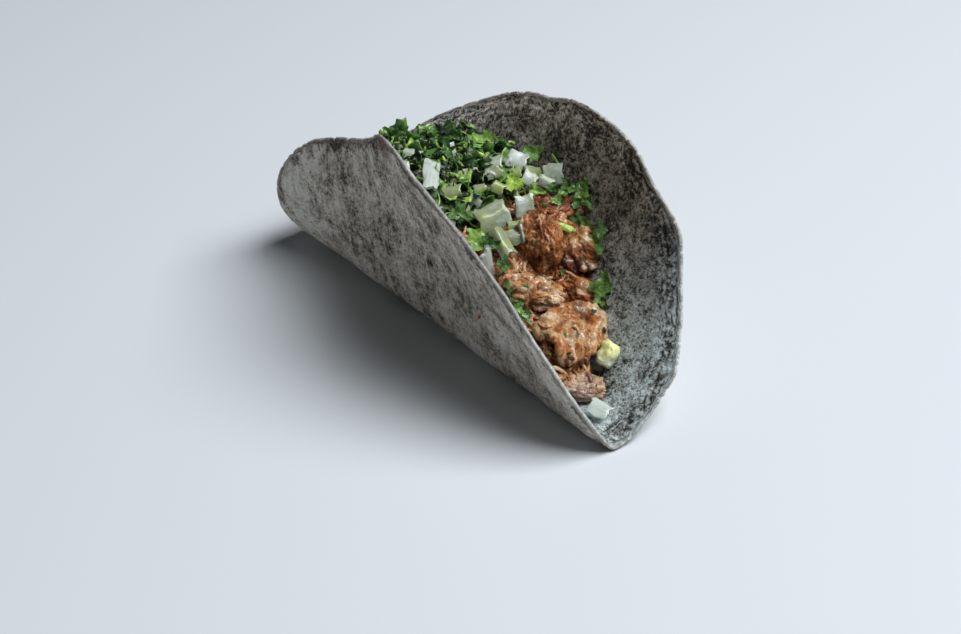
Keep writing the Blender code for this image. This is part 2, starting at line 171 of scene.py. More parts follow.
def begin_material(name, constants, bleed=None):
    """A new material, with the shader's constant values set on its own sockets. Bleed is
    the light that passes through: its share, reach for red, green and blue, and mm."""
    material = bpy.data.materials.new(name)
    material.use_nodes = True
    Wire.tree = material.node_tree
    shader = Wire.tree.nodes["Principled BSDF"]
    for key, value in constants.items():
        feed(shader, key, value)
    if bleed:
        feed(shader, "Subsurface Weight", bleed[0])
        feed(shader, "Subsurface Radius", bleed[1])
        feed(shader, "Subsurface Scale", bleed[2] * MM)
    return material, shader


def end_material(shader, values, bump=None):
    """Feeds the shader's inputs. A bump is its strength, distance in mm and height."""
    for key, value in values.items():
        feed(shader, key, value)
    if bump:
        strength, distance, height = bump
        feed(shader, "Normal", shade("Bump", {
            "Strength": strength, "Distance": distance * MM, "Height": height}))


def mesh_of(name, points, faces):
    mesh = bpy.data.meshes.new(name)
    mesh.from_pydata(points, [], faces)
    return mesh


def put(name, data):
    """A new object in the scene."""
    thing = bpy.data.objects.new(name, data)
    bpy.context.collection.objects.link(thing)
    return thing


table_material, shader = begin_material("table_glaze", {"Roughness": TABLE_GLAZE})
clouds = fractal(shade("TexCoord")["Object"], 2.2, 2)
darker = tuple(0.97 * c for c in TABLE_COLOUR)
end_material(shader, {"Base Color": mix(TABLE_COLOUR, darker, clouds)})

half = TABLE_SIZE / 2
corners = [(-half, -half, 0), (half, -half, 0), (half, half, 0), (-half, half, 0)]
table_mesh = mesh_of("table", corners, [(0, 1, 2, 3)])
table_mesh.materials.append(table_material)
table = put("table", table_mesh)


def add_lamp(name, way, far, size, power):
    """A flat lamp that faces the taco's foot."""
    data = bpy.data.lights.new(name, "AREA")
    data.shape = "RECTANGLE"
    data.size, data.size_y = size
    data.energy = power
    lamp = put(name, data)
    lamp.location = Vector(way).normalized() * far
    lamp.rotation_euler = Vector(way).to_track_quat("Z", "Y").to_euler()


add_lamp("window", *WINDOW)
add_lamp("low_card", *LOW_CARD)

world = bpy.data.worlds.new("room")
world.use_nodes = True
fill = world.node_tree.nodes["Background"].inputs
fill["Color"].default_value = (*FILL_COLOUR, 1)
fill["Strength"].default_value = FILL_STRENGTH
bpy.context.scene.world = world
bpy.context.scene.view_settings.view_transform = "Standard"

camera_data = bpy.data.cameras.new("camera")
camera_data.lens = LENS
camera_data.clip_start = NEAREST
camera = put("camera", camera_data)
turn = Matrix((LOOK.cross(HEAD), HEAD, -LOOK)).transposed()
camera.matrix_world = Matrix.Translation(EYE) @ turn.to_4x4()
bpy.context.scene.camera = camera

# ------------------------
# The tortilla: one round of blue-corn dough, pressed, griddled on both sides and
# folded once beside its middle, so that one flap stands steep and the other leans.
DISC_RADIUS = 76 * MM
SHEET = 2.2 * MM
FOLD_OFFSET = 7.1 * MM
FOLD_MIDDLE = Vector((-0.9, -14.8, 0)) * MM  # the fold's middle in the shared frame
RIM_WAVES = ((2, 0.002, -3.05), (3, 0.009, -2.01), (5, 0.025, 1.74), (6, 0.0137, -2.33),
             (7, 0.0088, 0.13))
# Single bulges and dents of the rim: angle round the disc, half width, height as a
# share of the radius. The last is the steep flap's sharp corner.
RIM_BUMPS = ((0.8, 0.12, 0.034), (1.05, 0.08, -0.013), (0.27, 0.08, 0.02),
             (1.79, 0.11, -0.018), (-1.67, 0.1, 0.024))
RIM_TAPER = 9.0 * MM  # the sheet thins this far in from its rim
RIM_THIN = 0.55  # its share of the thickness at the rim
RIM_CROWDING = 0.068  # draws the grid's rings together at the rim
RIM_ROUND = 0.8 * MM  # the rim is rounded over this far in
WAVE_NICKS, DEEP_NICKS = 0.01, 0.009  # the rim's small dents, as shares of the radius
STEEP_RISE = (59, 86, 33)  # degrees above the table at the front, middle and back
LEAN_RISE = (20, 49, 44)
STEEP_CURL = (1.4, -1.8, 18.0)  # degrees for each centimetre further out
LEAN_CURL = (9.9, 3.4, -1.2)
BEND_REACH = (1.95 * MM, 7.7 * MM)
FOOT_WIDTH = 14.2 * MM  # flat strip beside the fold, in the leaning flap
SHEET_POINTS = 212  # grid points along each side of one skin
SEAM = 0.01 * MM  # the two skins meet at the rim within this
PATH_STEPS = 32  # straight steps from the fold out to a point


def geometry_tree(name, inputs):
    """A new geometry tree with these inputs and a Surface; returns its Group Input."""
    tree = bpy.data.node_groups.new(name, "GeometryNodeTree")
    kinds = {int: "NodeSocketInt", float: "NodeSocketFloat", tuple: "NodeSocketVector"}
    for label, value in (inputs | {"Surface": "Material"}).items():
        kind = kinds.get(type(value)) or "NodeSocket" + value
        socket = tree.interface.new_socket(label, in_out="INPUT", socket_type=kind)
        if type(value) in kinds:
            socket.default_value = value
    tree.interface.new_socket("Geometry", in_out="OUTPUT", socket_type="NodeSocketGeometry")
    Wire.tree = tree
    return add("NodeGroupInput")


def end_tree(geometry):
    """Ends a tree with its mesh, covered with the material that the tree is given."""
    done = geo("SetMaterial", {"Geometry": geometry, "Material": given["Surface"]})
    add("NodeGroupOutput", {"Geometry": done})


def grown(name, tree, values, mesh=None):
    """The plain mesh that a geometry tree makes, as an object that rides on the taco."""
    base = put(name + "_base", mesh or bpy.data.meshes.new(name + "_base"))
    modifier = base.modifiers.new("grow", "NODES")
    modifier.node_group = tree
    for item in tree.interface.items_tree:
        if item.in_out == "INPUT" and item.name in values:
            modifier[item.identifier] = values[item.name]
    evaluated = base.evaluated_get(bpy.context.evaluated_depsgraph_get())
    result = bpy.data.meshes.new_from_object(evaluated)
    bpy.data.objects.remove(base)
    result.name = name
    result.shade_smooth()
    thing = put(name, result)
    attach(thing, "root")
    return thing


def separate(vector):
    parts = shade("SeparateXYZ", {"Vector": vector})
    return parts["X"], parts["Y"], parts["Z"]


def joined(x, y, z):
    return shade("CombineXYZ", {"X": x, "Y": y, "Z": z})


def three_ways(values, u):
    """The parabola through three values at u = 0, a half and 1."""
    first, middle, last = values
    return first * (1 - u) * (1 - 2 * u) + 4 * middle * u * (1 - u) + last * u * (2 * u - 1)


def chosen(share, first, second):
    return first + share * (second - first)


given = geometry_tree("folded_sheet", {
    "Disc radius": DISC_RADIUS, "Thickness": SHEET, "Fold offset": FOLD_OFFSET,
    "Foot width": FOOT_WIDTH, "Rim taper": RIM_TAPER, "Grid points": SHEET_POINTS,
    "Middle": tuple(FOLD_MIDDLE)})
sheet_tree = Wire.tree
radius, thick, offset = given["Disc radius"], given["Thickness"], given["Fold offset"]
count = given["Grid points"]
grid = geo("MeshGrid", {"Size X": 2.0, "Size Y": 2.0, "Vertices X": count, "Vertices Y": count})
x, y, _ = separate(geo("InputPosition"))
across = x * maths("SQRT", 1 - y * y / 2)
along = y * maths("SQRT", 1 - x * x / 2)
ring = maths("MINIMUM", maths("SQRT", across * across + along * along), 1.0)
ring = (1 + RIM_CROWDING) * ring - RIM_CROWDING * ring ** 12.0
beta = maths("ARCTAN2", along, across)
rim = 1.0
for count, depth, angle in RIM_WAVES:
    rim = rim + depth * maths("SINE", count * beta + angle)
for angle, width, height in RIM_BUMPS:
    gap = (beta - angle) / width
    rim = rim + height * maths("EXPONENT", gap * gap * -1)
round_rim = joined(maths("COSINE", beta), maths("SINE", beta), 0)
nicks = swing(round_rim, 9, 3, 0.6) * WAVE_NICKS
nicks = nicks - step(fractal(round_rim, 30, 2, 0.6), 0.52, 0.7) * DEEP_NICKS
rim = radius * (rim + nicks)
t = radius - rim * ring * maths("COSINE", beta)
s = rim * ring * maths("SINE", beta) + offset
inside = rim * (1 - ring)

u = shade("Clamp", {"Value": t / (2 * radius), "Min": 0.0001, "Max": 0.9999})
leaning = maths("GREATER_THAN", s, 0.0)
rise = maths("RADIANS", chosen(leaning, three_ways(STEEP_RISE, u), three_ways(LEAN_RISE, u)))
curl = chosen(leaning, three_ways(STEEP_CURL, u), three_ways(LEAN_CURL, u))
curl = maths("RADIANS", curl) / (10 * MM)
reach = chosen(u, *BEND_REACH)
foot = leaning * given["Foot width"] * maths("SINE", pi * u) ** 0.7
span = abs(s)


def slope(length):
    past = maths("MAXIMUM", length - foot, 0.0)
    return rise * (1 - maths("EXPONENT", (past / reach) ** 1.5 * -1)) + curl * past


begin = Wire.tree.nodes.new("GeometryNodeRepeatInput")
end = Wire.tree.nodes.new("GeometryNodeRepeatOutput")
begin.pair_with_output(end)
end.repeat_items.clear()
end.repeat_items.new("FLOAT", "Out")
end.repeat_items.new("FLOAT", "Up")
feed(begin, "Iterations", PATH_STEPS)
bend = slope(span * (Wire(begin.outputs["Iteration"]) + 0.5) / PATH_STEPS)
feed(end, "Out", Wire(begin.outputs["Out"]) + span * maths("COSINE", bend) / PATH_STEPS)
feed(end, "Up", Wire(begin.outputs["Up"]) + span * maths("SINE", bend) / PATH_STEPS)
bend = slope(span)
side = 2 * leaning - 1
middle = joined(radius - t, side * Wire(end.outputs["Out"]), Wire(end.outputs["Up"]) + thick / 2)
facing = joined(0, maths("SINE", bend) * side * -1, maths("COSINE", bend))


def store(geometry, values, domain="POINT"):
    """The mesh with these named attributes."""
    for name, value in values.items():
        kind = "FLOAT_VECTOR" if value.socket.type == "VECTOR" else "FLOAT"
        geometry = geo("StoreNamedAttribute", {
            "Geometry": geometry, "Name": name, "Value": value}, data_type=kind, domain=domain)
    return geometry


def fetch(name, kind="FLOAT"):
    return geo("InputNamedAttribute", {"Name": name}, data_type=kind)


share = maths("MINIMUM", inside / RIM_ROUND, 1.0)
profile = maths("SQRT", maths("MAXIMUM", 1 - (1 - share) * (1 - share), 0.0))
profile = profile * step(inside / given["Rim taper"], 0, 1, RIM_THIN, 1)
sheet = store(grid, {"facing": facing, "profile": profile, "rim": inside / MM,
                     "flat": joined(t / MM, s / MM, 0)})
middle = middle + given["Middle"]
sheet = geo("SetPosition", {"Geometry": sheet, "Position": middle})

# Each skin stands off the sheet's middle, with its own lumps, pits and wrinkles
facing, flat = fetch("facing", "FLOAT_VECTOR"), fetch("flat", "FLOAT_VECTOR")
profile, from_rim = fetch("profile"), fetch("rim")
skins = []
for way in (1, -1):
    spot = flat + (0.0, 0.0, 60.0 * way)
    sway = swing(flat, 0.045, 2) * 1.6 + swing(flat, 0.13, 2) * 0.5
    lumps = swing(spot, 0.28, 3) * 0.75
    streaks = swing(spot * (0.9, 0.16, 1), 1, 2) * 0.35
    pits = step(fractal(spot + (40, 0, 0), 0.62, 2), 0.6, 0.74) * -0.34
    ridges = maths("SINE", from_rim * 3.4 + fractal(spot, 0.12, 2) * 9)
    ridges = ridges * step(from_rim, 2, 12, 0.14, 0) * step(from_rim, 0.5, 2)
    own = (lumps + streaks + pits + ridges) * profile
    lift = facing * ((way * (thick / 2 * profile + own * MM)) + sway * MM)
    x, y, z = separate(geo("InputPosition") + lift)
    above = joined(x, y, maths("MAXIMUM", z, 0))
    skin = geo("SetPosition", {"Geometry": sheet, "Position": above})
    deep = step(from_rim, 0, 2) * (8 * way)
    skin = store(skin, {"flat": flat + joined(0, 0, deep)})
    if way < 0:
        skin = geo("FlipFaces", {"Mesh": skin})
    skins.append(skin)
both = geo("JoinGeometry", {"Geometry": skins[0]})
feed(both.socket.node, "Geometry", skins[1])
sewn = geo("MergeByDistance", {"Geometry": both, "Distance": SEAM})
for spent in ("facing", "profile"):
    sewn = geo("RemoveAttribute", {"Geometry": sewn, "Name": spent})
end_tree(sewn)

masa, shader = begin_material("blue_corn_dough", {"IOR": 1.40})


def attribute(name, output="Fac"):
    return shade("Attribute", attribute_name=name)[output]


def around(place, spot, size):
    """A soft round patch on the flat dough: 1 at its middle."""
    away = (place - spot) * (1 / size, 1 / size, 0.0)
    away = shade("VectorMath", {0: away}, operation="LENGTH")["Value"]
    return step(away, 0, 1, 1, 0)


flat, rim = attribute("flat", "Vector"), attribute("rim")
along, across, layer = separate(flat)
outer = step(layer, -0.2, 0.2, 1, 0)
lean = step(across, -1, 1)
blots = swing(flat + (11, 4, 2), 0.085, 3, 0.55, 0.5)
smudges = swing(flat + (51, 14, 2), 0.24, 4, 0.62, 0.3)
streaks = swing(flat * (1, 0.2, 1), 0.55, 3, 0.62)
grit = swing(flat, 0.8, 4, 0.68)
fine = swing(flat + (9, 9, 0), 1.7, 3, 0.7)
fading = smudges * 45.0
# Griddled outside: warm grey clouded with charcoal, partly painted light that brightens this
# side; painted light makes both tips paler, and painted shade darkens the band beside the rim
dry_with_painted_light = 0.545 + blots * 1.1 + smudges * 1.0 + streaks * 0.9 + grit * 1.2 + fine * 0.9
dry_with_painted_light = dry_with_painted_light + step(along + fading, 116, 140, 0, 0.36)
dry_with_painted_light = dry_with_painted_light + step(along + fading, 34, 10, 0, 0.24)
dry_with_painted_light = dry_with_painted_light - step(rim + smudges * 16, 5.5, 2, 0, 0.3)
dry_with_painted_light = ramp(dry_with_painted_light, (
    (0.1, (0.035, 0.031, 0.027)), (0.34, (0.19, 0.168, 0.138)), (0.55, (0.42, 0.38, 0.32)),
    (0.78, (0.6, 0.56, 0.49)), (1.0, (0.72, 0.71, 0.66))))
# Steamed inside: browner and darker up the leaning flap, blue-grey low at its front,
# wrinkled along the rim
front = step(along + across * 0.35 + fading, 72, 34)
wrinkle = maths("SINE", rim * 2.6 + blots * 50) * step(rim, 1.5, 12, 0.24, 0) * lean
wet = 0.52 + blots * 0.9 + smudges * 1.5 + streaks * 0.5 + grit * 1.8 + fine * 1.4
wet = wet + step(along + fading, 30, 12, 0, 0.13) - wrinkle
wet = wet - step(across + fading, 56, 74, 0, 0.1)
wet = ramp(wet, (
    (0.12, (0.02, 0.0185, 0.016)), (0.34, (0.115, 0.108, 0.094)),
    (0.52, (0.29, 0.278, 0.252)), (0.74, (0.47, 0.475, 0.455)), (1.0, (0.66, 0.68, 0.67))))
wet = tinted(wet, (0.92, 1.05, 1.12), front)
wet = tinted(wet, (1.08, 0.97, 0.88), step(across + fading, 50, 76))
# Juice stains, with painted contact shade, darken the dough beside the filling
edge = maths("MINIMUM", along * 0.66 + 6.0, 44.0)
juice_and_shade = step(across - edge + smudges * 26, 8, -1)
juice_and_shade = juice_and_shade * step(along, 70, 56) * step(along, 18, 32)
wet = tinted(wet, (0.5, 0.4, 0.31), juice_and_shade * 0.8)
# Charred and floury flecks, and the bare rim
colour = mix(wet, dry_with_painted_light, outer)
colour = mix(colour, (0.012, 0.01, 0.008), step(fine, -0.105, -0.145) * 0.85)
colour = mix(colour, (0.66, 0.66, 0.63), step(fine, 0.13, 0.17) * 0.55)
colour = mix(colour, (0.62, 0.62, 0.59), step(rim + grit * 6, 0.9, 0.2) * 0.55)
# Toasted corner and two rusty spots on the steep flap
toast = around(flat, (82, -67.5, 0), 7.5) * step(smudges, -0.14, 0.06)
toast = toast + around(flat, (93, -42, 0), 1.9) * 0.9
toast = toast + around(flat, (118, -16, 0), 9) * 0.25
colour = mix(colour, (0.17, 0.062, 0.036), step(toast, 0.05, 0.9) * 0.85)
height = smudges * 0.6 + streaks * 0.5 + grit * 0.9 + fine * 0.5
end_material(shader, {"Base Color": colour, "Roughness": 0.86 - grit * 0.3 - juice_and_shade * 0.3},
             (1.0, 0.5, height))

tortilla = grown("tortilla_sheet", sheet_tree, {"Surface": masa})
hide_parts("tortilla")

# ------------------------
# The braised pork: torn lumps of shoulder on a bed of shredded meat. Each lump is a
# bundle of long fibres with fissures between them, glossy with its reduced juices.

# Each lump: CAD node, middle from the fold's middle, way of its fibres, levels of
# refinement, swelling, width of its cords, roughness, tone from dark to pale, share of
# purple. The bed's row ends with how far its top swells.
PORK = (
    ("pork_chunk_front", (39.0, 12.0, 10.6), (-0.52, 0.4, 0.75), 3, 1.0, 3.6, 0.75, 0.66, 0.0),
    ("pork_fat_strip", (28.6, 10.8, 21.5), (0.54, 0.69, -0.48), 3, 0.5, 2.2, 0.8, 0.75, 0.0),
    ("pork_piece_left", (26.0, 4.8, 23.8), (0.7, 0.5, -0.4), 2, 0.7, 2.6, 1.0, 0.6, 0.2),
    ("pork_piece_middle", (25.4, 20.8, 19.6), (0.4, 0.6, -0.7), 2, 0.7, 2.2, 1.1, 0.34, 0.0),
    ("pork_piece_right", (28.3, 24.6, 16.6), (0.6, 0.5, -0.6), 2, 0.6, 2.4, 1.1, 0.52, 0.1),
    ("pork_chunk_back", (18.0, 20.6, 29.2), (-0.44, 0.36, 0.82), 3, 0.3, 2.2, 1.1, 0.5, 0.0),
    ("pork_piece_dark", (22.2, 25.6, 23.0), (0.5, 0.2, -0.8), 2, 0.6, 2.4, 1.3, 0.34, 1.0),
    ("pork_chunk_right", (23.2, 29.8, 25.0), (0.7, 0.2, -0.7), 2, 0.6, 2.4, 1.1, 0.58, 0.0),
    ("pork_strip_back", (11.7, 31.4, 32.4), (0.1, 1.0, 0.1), 2, 0.6, 2.2, 1.3, 0.34, 0.4),
    ("pork_piece_front", (54.0, 6.8, 5.2), (0.5, 0.8, -0.1), 2, 0.0, 2.2, 0.8, 0.84, 0.9),
)
BED_LUMP = ("pork_bed", (0.0, 14.0, 15.0), (0.9, 0.4, 0.0), 3, 0.3, 2.2, 1.0, 0.42, 0.1, 3.2)

SAME_POINT = 0.001 * MM  # a solid's points closer than this are one


def merged_copy(node):
    """A CAD node's mesh again, with its doubles merged so that it can be refined."""
    shape = bmesh.new()
    shape.from_mesh(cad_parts[node].data)
    bmesh.ops.remove_doubles(shape, verts=shape.verts, dist=SAME_POINT)
    mesh = bpy.data.meshes.new(node + "_rough")
    shape.to_mesh(mesh)
    shape.free()
    return mesh


def refined():
    """The tree's mesh, subdivided as often as it is told."""
    return geo("SubdivisionSurface", {"Mesh": given["Geometry"], "Level": given["Levels"]})


def pushed(geometry, relief):
    """The mesh moved out along its normals, by relief in millimetres."""
    return geo("SetPosition", {
        "Geometry": geometry, "Offset": geo("InputNormal") * (relief * MM)})


given = geometry_tree("torn_meat", {
    "Geometry": "Geometry", "Levels": 2, "Middle": (0.0, 0.0, 0.0), "Turn": (0.0, 0.0, 0.0),
    "Swelling": 0.0, "Top swelling": 0.0, "Cord width": 3.0, "Rough": 1.0, "Tone": 0.5,
    "Purple": 0.0})
meat_tree = Wire.tree
local = geo("InputPosition") - given["Middle"]
local = shade("VectorRotate", {"Vector": local, "Rotation": given["Turn"]},
              rotation_type="EULER_XYZ", invert=True)
local = local * (1 / MM) + given["Middle"] * 3000.0      # no two lumps share their noise
bent = local + (fractal(local, 0.13, 2, 0.5)["Color"] - (0.5, 0.5, 0.5)) * 5.5


def cords(place, width, long):
    """Side-by-side cords along X: distance from a cord's middle, and its random number."""
    cell = cells(place * (1 / long, 1, 1) / width)
    return cell["Distance"], separate(cell["Color"])[0]


far, number = cords(bent, given["Cord width"], 7)
fine_far, fine_number = cords(bent, given["Cord width"] * 0.3, 9)
lobes = swing(bent, 0.13, 3, 0.6) * 3.6
torn = abs(swing(bent * (0.35, 1, 1), 0.55, 3, 0.65))
nubs = swing(bent * (0.45, 1, 1), 0.95, 3, 0.65)
upward = separate(geo("InputNormal"))[2]
relief = lobes + (0.45 - far) * given["Cord width"] * 0.8
relief = relief + (0.45 - fine_far) * 0.9 * given["Rough"]
relief = relief + (nubs * 2.2 - torn * 4.0) * given["Rough"]
relief = relief + given["Swelling"] + given["Top swelling"] * step(upward, 0.2, 0.8) + 0.35
# Painted shade: darker in the fissures between cords, in torn cracks and on faces that look down
hollow = step(far, 0.48, 0.88) * 0.75 + step(fine_far, 0.5, 0.9) * 0.35
hollow = hollow + step(torn, 0.1, 0.24) * 0.5 + step(upward, 0.3, -0.45) * 0.45
lump = store(refined(), {
    "grain": bent, "hollow": hollow, "cord": number * 0.7 + fine_number * 0.3,
    "tone": given["Tone"], "purple": given["Purple"]})
end_tree(pushed(lump, relief))

pork, shader = begin_material("braised_pork", {"Coat Roughness": 0.12, "IOR": 1.40},
                              bleed=(0.15, (1.0, 0.4, 0.22), 1.2))
grain, tone = attribute("grain", "Vector"), attribute("tone")
hollow, purple = attribute("hollow"), attribute("purple")
patches = fractal(grain, 0.24, 3, 0.6)
threads = fractal(grain * (0.16, 1, 1), 1.1, 4, 0.7)
specks = fractal(grain, 1.9, 3, 0.7)
pale = tone + (attribute("cord") - 0.5) * 0.45 + (patches - 0.5) * 1.25
pale = pale + (threads - 0.5) * 1.3 + (specks - 0.5) * 0.6
colour = ramp(pale, (
    (0.0, (0.05, 0.012, 0.005)), (0.22, (0.17, 0.044, 0.012)), (0.42, (0.38, 0.122, 0.027)),
    (0.6, (0.54, 0.25, 0.085)), (0.8, (0.68, 0.435, 0.225)), (1.0, (0.84, 0.66, 0.47))))
glaze = step(fractal(grain + (7, 3, 9), 0.33, 2), 0.5, 0.66)
colour = mix(colour, (0.44, 0.115, 0.022), glaze * 0.6)
grey = mix((0.15, 0.07, 0.072), (0.44, 0.31, 0.26), step(tone, 0.4, 0.8))
colour = mix(colour, grey, purple * step(patches, 0.35, 0.6) * 0.8)
# Painted shade in the fissures and on the undersides of the lumps
colour = mix(colour, (0.07, 0.016, 0.006), step(hollow, 0.1, 0.95) * 0.75)
end_material(shader, {"Base Color": colour, "Roughness": 0.27 + 0.34 * threads,
                      "Coat Weight": step(patches, 0.36, 0.6) * 0.9},
             (1.0, 0.8, threads + specks * 0.6))


def meat_lump(node, middle, way, levels, swelling, cord, rough, tone, purple, top=0.0):
    middle = tuple(Vector(middle) * MM + FOLD_MIDDLE)
    turn = tuple(Vector(way).to_track_quat("X", "Z").to_euler())
    lump = grown(node + "_meat", meat_tree, {
        "Levels": levels, "Middle": middle, "Turn": turn, "Swelling": swelling,
        "Top swelling": top, "Cord width": cord, "Rough": rough, "Tone": tone,
        "Purple": purple, "Surface": pork}, merged_copy(node))
    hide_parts(node)
    return lump


meat = [meat_lump(*lump) for lump in (*PORK, BED_LUMP)]


# Torn shreds and crumbs of the same meat lie over the bed and the lumps.
def strand(length, width, bow, seed):
    """A tapered, slightly bowed bundle of fibres, six-sided, along X."""
    rings, around = 7, 6
    points = []
    for k in range(rings):
        u = k / (rings - 1)
        swell = width / 2 * (0.25 + 0.75 * sin(pi * min(max(u, 0.04), 0.96)) ** 0.6)
        middle = Vector(((u - 0.5) * length, bow * sin(pi * u), 0.3 * bow * sin(5 * u + seed)))
        for j in range(around):
            angle = tau * j / around + 0.5 * u
            uneven = 1 + 0.35 * noise.noise(Vector((k * 0.9, j * 1.7, seed)))
            out = Vector((0, cos(angle), 0.8 * sin(angle)))
            points.append(middle + out * swell * uneven)
    faces = [tuple(reversed(range(around))), tuple(range((rings - 1) * around, rings * around))]
    for k in range(rings - 1):
        for j in range(around):
            a, b = k * around + j, k * around + (j + 1) % around
            faces.append((a, b, b + around, a + around))
    return points, faces


def kit(name, shapes):
    """A collection of small shapes, in millimetres, for a scattering tree to pick from.
    Each keeps its own coordinates in the attribute grain."""
    collection = bpy.data.collections.new(name)
    for number, (points, faces) in enumerate(shapes):
        mesh = mesh_of(f"{name}_{number}", [Vector(p) * MM for p in points], faces)
        own = mesh.attributes.new("grain", "FLOAT_VECTOR", "POINT")
        own.data.foreach_set("vector", np.array([p[:] for p in points]).ravel() + 37.0 * number)
        collection.objects.link(bpy.data.objects.new(mesh.name, mesh))
    return collection


given = geometry_tree("scattering", {
    "Geometry": "Geometry", "Pieces": "Collection", "Seed": 1, "Spacing": 2 * MM,
    "Density": 10000.0, "Smallest": 0.7, "Largest": 1.3, "Tip": 0.5, "Lowest": 0.0,
    "Highest": 1 * MM, "Tone from": 0.2, "Tone to": 0.8})
scatter_tree = Wire.tree
points = geo("DistributePointsOnFaces", {
    "Mesh": given["Geometry"], "Distance Min": given["Spacing"], "Density Max": given["Density"],
    "Density Factor": fetch("sow"), "Seed": given["Seed"]}, distribute_method="POISSON")


def drawn(low, high, shift, kind="FLOAT"):
    """A random number for each piece."""
    return add("FunctionNodeRandomValue", {
        "Min": low, "Max": high, "Seed": given["Seed"] + shift}, data_type=kind)


tip = given["Tip"]
spin = drawn(joined(tip * -1, tip * -1, -pi), joined(tip, tip, pi), 1, "FLOAT_VECTOR")
spin = add("FunctionNodeEulerToRotation", {"Euler": spin})
spin = add("FunctionNodeRotateRotation", {
    "Rotation": points["Rotation"], "Rotate By": spin}, rotation_space="LOCAL")
lifted = geo("SetPosition", {
    "Geometry": points, "Offset": points["Normal"] * drawn(given["Lowest"], given["Highest"], 2)})
pick = geo("CollectionInfo", {
    "Collection": given["Pieces"], "Separate Children": True, "Reset Children": True})
spread = geo("InstanceOnPoints", {
    "Points": lifted, "Instance": pick, "Pick Instance": True, "Rotation": spin,
    "Scale": drawn(given["Smallest"], given["Largest"], 3)})
spread = store(spread, {"tone": drawn(given["Tone from"], given["Tone to"], 4)}, "INSTANCE")
end_tree(geo("RealizeInstances", {"Geometry": spread}))


def ground(name, pieces, sow):
    """The joined faces of pieces, with the attribute sow: how thick things lie there."""
    shape = bmesh.new()
    for piece in pieces:
        shape.from_mesh(piece.data)
    layer = shape.verts.layers.float.new("sow")
    for vert in shape.verts:
        vert[layer] = sow((vert.co - FOLD_MIDDLE) / MM, vert.normal)
    mesh = bpy.data.meshes.new(name)
    shape.to_mesh(mesh)
    shape.free()
    return mesh


def scattered(name, surface, pieces, under, sow, seed, spacing, density, sizes, tip,
              heights, tones):
    """Loose pieces over the meshes under, as thick as sow says at each place. Sizes,
    heights and tones are the least and the most. Spacing and heights are in mm, density
    is the most pieces on a square metre, and tip how far they tilt, in radians."""
    return grown(name, scatter_tree, {
        "Pieces": pieces, "Seed": seed, "Spacing": spacing * MM, "Density": density,
        "Smallest": sizes[0], "Largest": sizes[1], "Tip": tip, "Lowest": heights[0] * MM,
        "Highest": heights[1] * MM, "Tone from": tones[0], "Tone to": tones[1],
        "Surface": surface}, ground(name + "_ground", under, sow))


def clamp(value):
    return min(max(value, 0), 1)


def meat_sow(place, normal):
    """Shreds lie on faces that look up, thickest on the bed's open front."""
    return clamp(normal.z * 1.6 - 0.2) * (1.0 if place.x > -5 else 0.5)


strands = kit("strands", [
    strand(8, 1.7, 1.2, 1), strand(6, 1.5, -0.8, 2), strand(4.5, 2.2, 0.5, 3),
    strand(3, 2.3, 0.1, 4), strand(7, 1.2, 1.6, 5)])
for name, under, seed, spacing, largest in (("bed_shreds", meat[-1:], 11, 1.9, 1.1),
                                            ("lump_crumbs", meat[:-1], 12, 3.4, 0.75)):
    shreds = scattered(name, pork, strands, under, meat_sow, seed, spacing, 160000.0,
                       (0.45, largest), 0.45, (-0.4, 0.4), (0.15, 0.95))

# Larger torn scraps between the front lump and the steep flap: length, width, place
# from the fold's middle, way of its length
TORN_SCRAPS = (
    (9, 4.4, (45, 3.4, 10.5), (0.7, 0.1, -0.6)),
    (8, 4, (41, 2.8, 15), (0.7, 0, -0.6)),
    (7, 4, (49.5, 4.4, 7.4), (0.8, 0.2, -0.4)),
)
SCRAPS_TURN = (0.0, radians(40), 0.0)  # the way of all their fibres
points, faces = [], []
for number, (length, width, place, way) in enumerate(TORN_SCRAPS):
    shape, sides = strand(length, width, 0.6, 3.0 * number)
    turn = Vector(way).to_track_quat("X", "Z")
    faces += [tuple(len(points) + k for k in side) for side in sides]
    points += [(Vector(place) + turn @ point) * MM + FOLD_MIDDLE for point in shape]
mesh = mesh_of("torn_scraps_rough", points, faces)
torn_scraps = grown("torn_scraps", meat_tree, {
    "Levels": 3, "Middle": tuple(points[0]), "Turn": SCRAPS_TURN, "Swelling": 0.3,
    "Cord width": 2.2, "Tone": 0.6, "Surface": pork}, mesh)

# ------------------------
# The heart of the salad: onion and herb chopped too fine to tell apart, pressed into
# one rough heap under the loose pieces.
CRUMBS = 0.42  # crumbs to the millimetre

given = geometry_tree("salad_heart", {
    "Geometry": "Geometry", "Levels": 3, "Shrink": 0.7, "Crown": 1.5})
core_tree = Wire.tree
local = geo("InputPosition") * (1 / MM)
crumbs = cells(local, CRUMBS)["Distance"]
relief = swing(local, 0.2, 3) * 2.4 - crumbs * 1.5 - given["Shrink"]
upward = separate(geo("InputNormal"))[2]
from_front = separate(local)[0]
crown = step(upward, 0.4, 0.8) * step(from_front, 6, -12)
relief = relief + crown * step(from_front, -66, -46) * given["Crown"]
end_tree(pushed(store(refined(), {"grain": local}), relief))

chopped, shader = begin_material("chopped_salad", {"IOR": 1.42})
grain = attribute("grain", "Vector")
crumb = cells(grain, CRUMBS)
kind, light, _ = separate(crumb["Color"])
# The heart's colours are kept darker than the loose pieces: painted shade under them
green = mix((0.012, 0.035, 0.006), (0.06, 0.15, 0.022), light)
white = mix((0.2, 0.24, 0.12), (0.42, 0.46, 0.3), light)
colour = mix(green, white, step(kind, 0.66, 0.72))
# Painted shade in the gaps between crumbs, near to black
colour = mix(colour, (0.006, 0.012, 0.004), step(crumb["Distance"], 0.35, 0.8) * 0.8)
end_material(shader, {"Base Color": colour, "Roughness": 0.35 + 0.3 * fractal(grain, 1.1)})

core = grown("salad_core", core_tree, {"Surface": chopped}, merged_copy("salad_heap"))
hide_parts("salad_heap")

